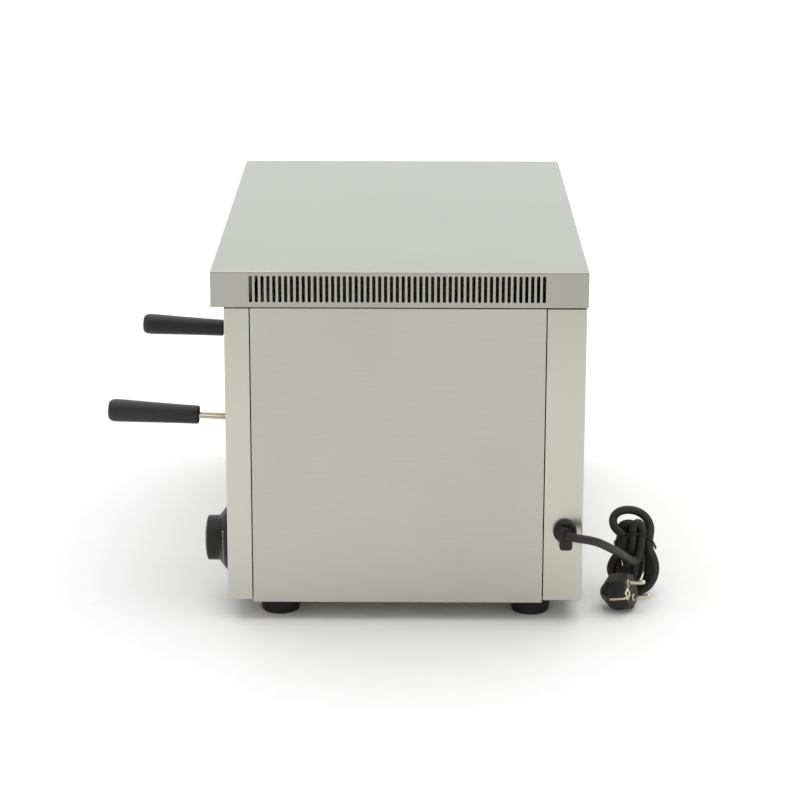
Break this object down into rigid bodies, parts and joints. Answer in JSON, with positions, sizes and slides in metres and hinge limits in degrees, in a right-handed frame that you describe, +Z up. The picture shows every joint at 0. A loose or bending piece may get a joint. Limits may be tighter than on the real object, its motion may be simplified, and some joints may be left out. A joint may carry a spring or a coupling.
{
  "type": "counter-top quartz grill oven",
  "caption": "Box-shaped stainless grill oven: open front, pull-out wire grid with turned handles, crumb tray, timer knob, rocker switches, vented cover rim, and a tied mains lead.",
  "frame": {"origin": "on the floor, midway from side to side and midway from the handles' tips to the cover's rear edge", "axes": "+Z up, -Y out of the open front, +X the side with the mains lead"},
  "size_m": [0.6375, 0.5976, 0.376],
  "materials": {
    "brushed_stainless": "stainless sheet, fine straight brushing",
    "satin_stainless": "stainless sheet, smooth satin",
    "bright_reflector": "bright rolled sheet",
    "chrome_wire": "drawn wire, chromed",
    "black_phenolic": "moulded phenolic, satin",
    "black_nylon": "moulded nylon",
    "black_rubber": "moulded or extruded rubber",
    "frosted_quartz": "milky fused quartz",
    "steatite_ceramic": "pressed and fired ceramic",
    "red_rocker": "translucent moulded plastic",
    "amber_lens": "translucent moulded lens",
    "white_nylon": "moulded nylon",
    "nickel_brass": "nickel-plated brass",
    "zinc_plated_steel": "zinc-plated steel"
  },
  "bodies": {
    "root": {"base_plate": "satin_stainless", "chamber_back": "bright_reflector", "chamber_floor": "bright_reflector", "chamber_roof": "bright_reflector", "chamber_wall_left": "bright_reflector", "chamber_wall_right": "bright_reflector", "cord_hank": "black_rubber", "cord_tie": "black_nylon", "cover_brace": "satin_stainless", "earth_clip": "nickel_brass", "foot_front_left": "black_rubber", "foot_front_right": "black_rubber", "foot_rear_left": "black_rubber", "foot_rear_right": "black_rubber", "front_panel": "satin_stainless", "guard_lower": "chrome_wire", "guard_upper": "chrome_wire", "mains_lead": "black_rubber", "mains_tail": "black_rubber", "pilot_lamp": "amber_lens", "plug_body": "black_rubber", "plug_pin_lower": "nickel_brass", "plug_pin_upper": "nickel_brass", "quartz_tube_lower_front": "frosted_quartz", "quartz_tube_lower_rear": "frosted_quartz", "quartz_tube_upper_front": "frosted_quartz", "quartz_tube_upper_rear": "frosted_quartz", "rack_guide_left": "satin_stainless", "rack_guide_right": "satin_stainless", "rear_panel": "satin_stainless", "rear_screw_lower_left": "zinc_plated_steel", "rear_screw_lower_right": "zinc_plated_steel", "rear_screw_upper_left": "zinc_plated_steel", "rear_screw_upper_right": "zinc_plated_steel", "side_panel_left": "brushed_stainless", "side_panel_right": "brushed_stainless", "strain_relief": "black_nylon", "switch_housing_lower": "black_nylon", "switch_housing_upper": "black_nylon", "terminal_block": "white_nylon", "thermal_cutout": "white_nylon", "timer_body": "zinc_plated_steel", "top_cover": "brushed_stainless", "tube_cap_lower_front_left": "steatite_ceramic", "tube_cap_lower_front_right": "steatite_ceramic", "tube_cap_lower_rear_left": "steatite_ceramic", "tube_cap_lower_rear_right": "steatite_ceramic", "tube_cap_upper_front_left": "steatite_ceramic", "tube_cap_upper_front_right": "steatite_ceramic", "tube_cap_upper_rear_left": "steatite_ceramic", "tube_cap_upper_rear_right": "steatite_ceramic", "wiring_loom": "black_rubber"},
    "grid": {"grill_grid": "chrome_wire", "handle_left": "black_phenolic", "handle_right": "black_phenolic"},
    "tray": {"crumb_tray": "satin_stainless"},
    "timer": {"timer_knob": "black_phenolic", "timer_shaft": "zinc_plated_steel"},
    "rocker_upper": {"switch_rocker_upper": "red_rocker"},
    "rocker_lower": {"switch_rocker_lower": "red_rocker"}
  },
  "joints": [
    {"name": "grid_slide", "type": "slide", "parent": "root", "child": "grid", "axis": [0, -1, 0], "range_m": [0, 0.25]},
    {"name": "tray_slide", "type": "slide", "parent": "root", "child": "tray", "axis": [0, -1, 0], "range_m": [0, 0.28]},
    {"name": "timer_turn", "type": "hinge", "parent": "root", "child": "timer", "pos_m": [0.241, -0.1194, 0.07], "axis": [0, 1, 0], "range_deg": [0, 300]},
    {"name": "rocker_upper_tilt", "type": "hinge", "parent": "root", "child": "rocker_upper", "pos_m": [0.12, -0.118, 0.066], "axis": [-1, 0, 0], "range_deg": [0, 20]},
    {"name": "rocker_lower_tilt", "type": "hinge", "parent": "root", "child": "rocker_lower", "pos_m": [0.06, -0.118, 0.066], "axis": [-1, 0, 0], "range_deg": [0, 20]}
  ]
}
